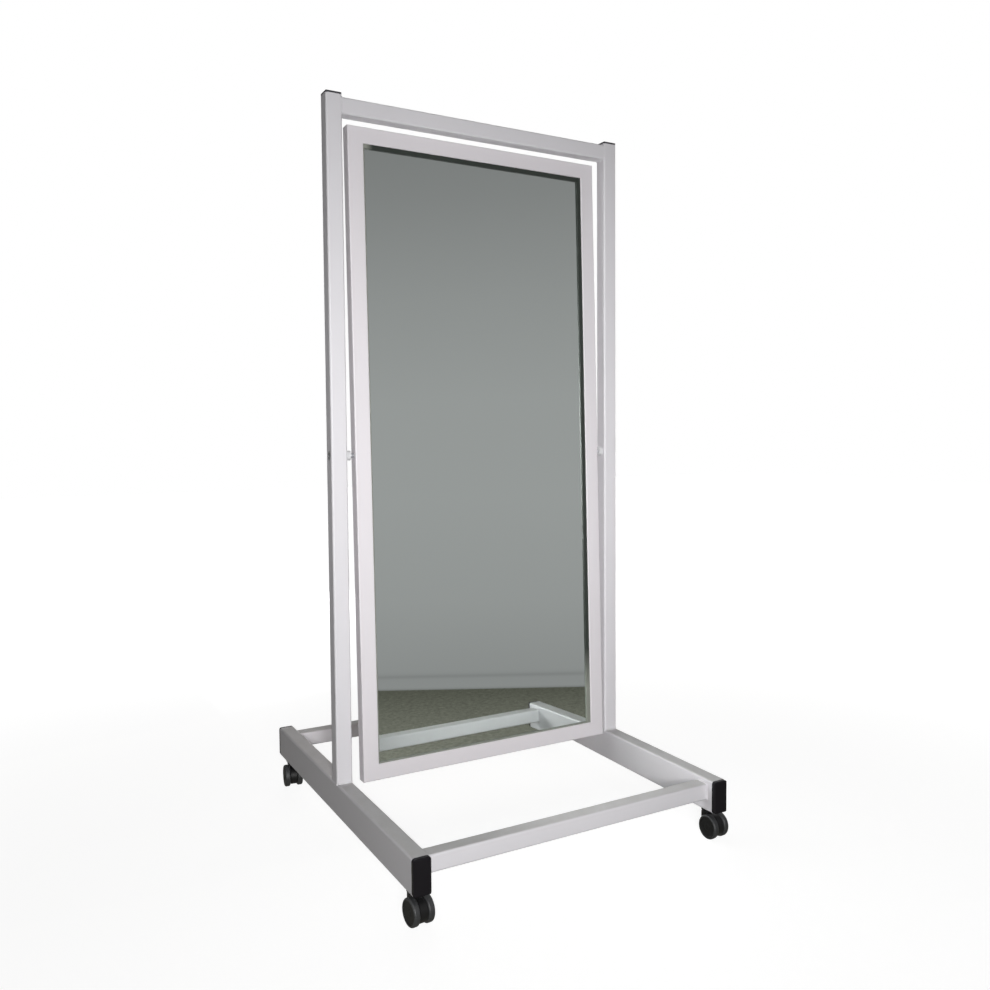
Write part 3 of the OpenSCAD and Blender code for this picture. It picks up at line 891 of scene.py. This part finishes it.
class FLOORMIRROR_OT_finish_pivots(bpy.types.Operator):
    """Finishes the pivot collars, bolts and nuts"""
    bl_idname = "floormirror.finish_pivots"
    bl_label = "Finish the Pivots"

    def execute(self, context):
        nylon = moulded("white_nylon", context.scene.mirror_caster.nylon_colour, 0.36, 700.0,
                        0.00005, 0.03)
        give(nylon, "left_pivot_bush", "right_pivot_bush")
        give(bpy.data.materials["zinc_plate"], "pivot_bolts", "pivot_nuts", "caster_nuts",
             "caster_stems")
        return {"FINISHED"}


# -------- the casters

class FLOORMIRROR_OT_finish_casters(bpy.types.Operator):
    """Finishes the forks, hubs, treads and axles of the casters"""
    bl_idname = "floormirror.finish_casters"
    bl_label = "Finish the Casters"

    def execute(self, context):
        casters = context.scene.mirror_caster
        fork = moulded("fork_nylon", casters.plastic_colour, 0.44, 800.0)
        hub = moulded("hub_nylon", casters.plastic_colour, 0.50, 1100.0)
        tread = soft_tread("soft_tread", casters.tread_colour)
        for name in CASTERS:
            give(fork, name + "_fork")
            give(hub, name + "_hub_l", name + "_hub_r")
            give(tread, name + "_tyre_l", name + "_tyre_r")
            give(bpy.data.materials["zinc_plate"], name + "_axle")
        return {"FINISHED"}


# -------- the studio

def sheet(name, corners, finish):
    """A flat stage piece of one face."""
    mesh = bpy.data.meshes.new(name)
    mesh.from_pydata(corners, [], [(0, 1, 2, 3)])
    mesh.materials.append(finish)
    thing = placed(name, mesh)
    return thing


def soft_lamp(name, place, target, size, power, degrees):
    light = bpy.data.lights.new(name, "AREA")
    light.shape = "RECTANGLE"
    light.size, light.size_y = size
    light.energy = power
    light.spread = math.radians(degrees)
    lamp = placed(name, light)
    lamp.location = place
    lamp.rotation_euler = (Vector(target) - Vector(place)).to_track_quat("-Z", "Y").to_euler()
    lamp.visible_camera = False
    return lamp


def flat(low_x, low_y, high_x, high_y, z):
    """The corners of a level rectangle."""
    return [(low_x, low_y, z), (high_x, low_y, z), (high_x, high_y, z), (low_x, high_y, z)]


def seen_only_in_gloss(thing):
    """A card that only reflections see, as a studio sets one beside the camera."""
    thing.visible_camera = False
    thing.visible_diffuse = False
    thing.visible_shadow = False
    thing.visible_transmission = False
    thing.visible_volume_scatter = False


def background_rays(tree):
    """1 for the rays that show the background: camera, glossy and transmission rays."""
    path = tree.nodes.new("ShaderNodeLightPath")
    bent = math_node(tree, "MAXIMUM", path.outputs["Is Glossy Ray"],
                     path.outputs["Is Transmission Ray"])
    return math_node(tree, "MAXIMUM", path.outputs["Is Camera Ray"], bent)


def glow_finish(name):
    """An empty emission material for a card: its tree and its emission node."""
    finish = bpy.data.materials.new(name)
    finish.use_nodes = True
    tree = finish.node_tree
    tree.nodes.clear()
    glow = tree.nodes.new("ShaderNodeEmission")
    out = tree.nodes.new("ShaderNodeOutputMaterial")
    tree.links.new(glow.outputs[0], out.inputs["Surface"])
    return finish, tree, glow


def ramp_of(tree, value, stops):
    node = tree.nodes.new("ShaderNodeValToRGB")
    tree.links.new(value, node.inputs["Fac"])
    band = node.color_ramp
    while len(band.elements) < len(stops):
        band.elements.new(1.0)
    for element, (place, colour) in zip(band.elements, stops):
        element.position = place
        element.color = (*colour, 1)
    return node.outputs["Color"]


def pale_world(sky):
    """A world that lights evenly at the strength sky and shows white."""
    world = bpy.data.worlds.new("pale_room")
    world.use_nodes = True
    tree = world.node_tree
    tree.nodes.clear()
    ambient = tree.nodes.new("ShaderNodeBackground")
    ambient.inputs["Strength"].default_value = sky
    white = tree.nodes.new("ShaderNodeBackground")
    for node in (ambient, white):
        node.inputs["Color"].default_value = (1, 1, 1, 1)
    mix = tree.nodes.new("ShaderNodeMixShader")
    out = tree.nodes.new("ShaderNodeOutputWorld")
    tree.links.new(background_rays(tree), mix.inputs[0])
    tree.links.new(ambient.outputs[0], mix.inputs[1])
    tree.links.new(white.outputs[0], mix.inputs[2])
    tree.links.new(mix.outputs[0], out.inputs[0])
    return world


def floor_finish(colour, lift):
    """Pale floor that shows white far off and keeps the object's shadow near it."""
    finish, tree, shader = new_finish("studio_floor", Base_Color=(*colour, 1), Roughness=0.9)
    reach = tree.nodes.new("ShaderNodeVectorMath")
    reach.operation = "LENGTH"
    tree.links.new(object_point(tree), reach.inputs[0])
    fade = tree.nodes.new("ShaderNodeMapRange")
    fade.interpolation_type = "SMOOTHSTEP"
    fade.inputs["From Min"].default_value = 0.8
    fade.inputs["From Max"].default_value = 3.0
    fade.inputs["To Min"].default_value = lift
    tree.links.new(reach.outputs["Value"], fade.inputs["Value"])
    glow = tree.nodes.new("ShaderNodeEmission")
    glow.inputs["Color"].default_value = (1, 1, 1, 1)
    strength = math_node(tree, "MULTIPLY", background_rays(tree), fade.outputs["Result"])
    tree.links.new(strength, glow.inputs["Strength"])
    both = tree.nodes.new("ShaderNodeAddShader")
    tree.links.new(shader.outputs[0], both.inputs[0])
    tree.links.new(glow.outputs[0], both.inputs[1])
    tree.links.new(both.outputs[0], tree.nodes["Material Output"].inputs["Surface"])
    return finish


def wall_finish(colour):
    """The glowing card that the glass shows as the wall, a painted reflection: painted shade makes
    it dimmer high up and low down, over a pale skirting.
    """
    finish, tree, glow = glow_finish("room_wall")
    split = tree.nodes.new("ShaderNodeSeparateXYZ")
    tree.links.new(object_point(tree), split.inputs[0])
    top = 3.0       # where its shading ends
    height = math_node(tree, "DIVIDE", split.outputs["Z"], top)
    stops = [(z / top, tuple(share * c for c in colour))
             for z, share in ((0.0, 0.60), (0.008, 0.80), (0.055, 0.78), (0.060, 0.62),
                              (0.072, 0.82), (0.38, 0.94), (0.81, 1.0), (1.23, 0.985),
                              (1.66, 0.87), (2.10, 0.70), (top, 0.45))]
    tree.links.new(ramp_of(tree, height, stops), glow.inputs["Color"])
    return finish


def carpet_finish(near, far, normal, gap):
    """The glowing card that the glass shows as the carpet, a painted reflection: painted shade
    makes it darker towards the wall, and it has a coarse pile.
    """
    finish, tree, glow = glow_finish("room_carpet")
    place = object_point(tree)
    along = tree.nodes.new("ShaderNodeVectorMath")
    along.operation = "DOT_PRODUCT"
    along.inputs[1].default_value = normal
    tree.links.new(place, along.inputs[0])
    share = math_node(tree, "DIVIDE", along.outputs["Value"], gap, clamp=True)
    base = ramp_of(tree, share, [(0.1, near), (1.0, far)])
    pile = spread(tree, noise_node(tree, place, 60.0, 4.0, 0.7), 0.2, 1.8)
    tree.links.new(scaled(tree, base, pile), glow.inputs["Color"])
    return finish


def photo_camera():
    camera = bpy.data.cameras.new("view")
    camera.sensor_width = 36.0
    camera.lens = FOCAL_PIXELS * camera.sensor_width / FRAME_PIXELS
    camera.shift_x = (FRAME_PIXELS / 2 - CENTRE_PIXEL[0]) / FRAME_PIXELS
    camera.shift_y = (CENTRE_PIXEL[1] - FRAME_PIXELS / 2) / FRAME_PIXELS
    camera.clip_end = 60.0
    seer = placed("view", camera)
    seer.location = CAMERA_PLACE
    yaw, pitch, roll = CAMERA_TURN
    ahead = Vector((-math.sin(yaw) * math.cos(pitch), math.cos(yaw) * math.cos(pitch),
                    math.sin(pitch)))
    right = ahead.cross(Vector((0, 0, 1))).normalized()
    upward = right.cross(ahead)
    across = right * math.cos(roll) + upward * math.sin(roll)
    above = upward * math.cos(roll) - right * math.sin(roll)
    seer.rotation_euler = Matrix((across, above, -ahead)).transposed().to_euler()
    return seer


class FLOORMIRROR_OT_set_studio(bpy.types.Operator):
    """Sets the floor, the lamps, the background and the camera"""
    bl_idname = "floormirror.set_studio"
    bl_label = "Set the Studio"

    def execute(self, context):
        scene = context.scene
        studio = scene.mirror_studio
        scene.view_settings.view_transform = "Standard"
        scene.world = pale_world(studio.sky)
        sheet("studio_floor", flat(-FLOOR_HALF, -FLOOR_HALF, FLOOR_HALF, FLOOR_HALF, 0),
              floor_finish(studio.floor_colour, studio.floor_lift))

        turn = studio.wall_turn
        normal = Vector((math.sin(turn), -math.cos(turn), 0))
        run = Vector((math.cos(turn), math.sin(turn), 0)) * WALL_HALF
        foot = normal * studio.wall_gap
        high = Vector((0, 0, WALL_HEIGHT))
        wall = sheet("room_wall", [foot - run, foot + run, foot + run + high, foot - run + high],
                     wall_finish(studio.wall_colour))

        lift = Vector((0, 0, 0.002))        # keeps the carpet clear of the floor
        left, right, near, far = -6, 5, -0.05, 6
        rail_side = -RAIL_HIGH.x - 0.01
        pile = carpet_finish(studio.carpet_near, studio.carpet_far, normal, studio.wall_gap)
        carpet = sheet("room_carpet", [foot - run + lift, foot + run + lift,
                                       (right, near, lift.z), (left, near, lift.z)], pile)
        dim, _, glow = glow_finish("room_side")
        glow.inputs["Color"].default_value = (*studio.flag_colour, 1)
        runner = sheet("room_carpet_left", flat(left, near, rail_side, far, lift.z), dim)
        x, start, end = -1.6, 0.4, 8
        flag = sheet("room_side", [(x, start, 0), (x, end, 0), (x, end, WALL_HEIGHT),
                                   (x, start, WALL_HEIGHT)], dim)
        for card in (wall, carpet, runner, flag):
            seen_only_in_gloss(card)

        for name, place, target, size, power, degrees in LAMPS:
            lamp = soft_lamp(name, place, target, size, getattr(studio, power), degrees)
            lamp.visible_glossy = name == "key_lamp"
        scene.camera = photo_camera()
        return {"FINISHED"}


# -------- panel and run

OPERATORS = (
    FLOORMIRROR_OT_set_studio, FLOORMIRROR_OT_coat_stand, FLOORMIRROR_OT_weld_stand,
    FLOORMIRROR_OT_cap_tubes, FLOORMIRROR_OT_coat_frame, FLOORMIRROR_OT_silver_glass,
    FLOORMIRROR_OT_seal_glass, FLOORMIRROR_OT_back_mirror, FLOORMIRROR_OT_screw_strips,
    FLOORMIRROR_OT_finish_pivots, FLOORMIRROR_OT_finish_casters,
)


class FLOORMIRROR_PT_sidebar(bpy.types.Panel):
    """Lists the steps that dress the mirror"""
    bl_idname = "FLOORMIRROR_PT_sidebar"
    bl_label = "Rolling Floor Mirror"
    bl_space_type = "VIEW_3D"
    bl_region_type = "UI"
    bl_category = "Floor Mirror"

    def draw(self, context):
        for operator in OPERATORS:
            self.layout.operator(operator.bl_idname)


SETTINGS = {"mirror_coat": CoatSettings, "mirror_panel": PanelSettings,
            "mirror_caster": CasterSettings, "mirror_studio": StudioSettings}


def register():
    for group in SETTINGS.values():
        bpy.utils.register_class(group)
    for name, group in SETTINGS.items():
        setattr(bpy.types.Scene, name, bpy.props.PointerProperty(type=group))
    for operator in OPERATORS:
        bpy.utils.register_class(operator)
    bpy.utils.register_class(FLOORMIRROR_PT_sidebar)


def unregister():
    bpy.utils.unregister_class(FLOORMIRROR_PT_sidebar)
    for operator in reversed(OPERATORS):
        bpy.utils.unregister_class(operator)
    for name in SETTINGS:
        delattr(bpy.types.Scene, name)
    for group in reversed(list(SETTINGS.values())):
        bpy.utils.unregister_class(group)


def main():
    register()
    for operator in OPERATORS:
        group, name = operator.bl_idname.split(".")
        getattr(getattr(bpy.ops, group), name)()


if __name__ == "__main__":
    main()
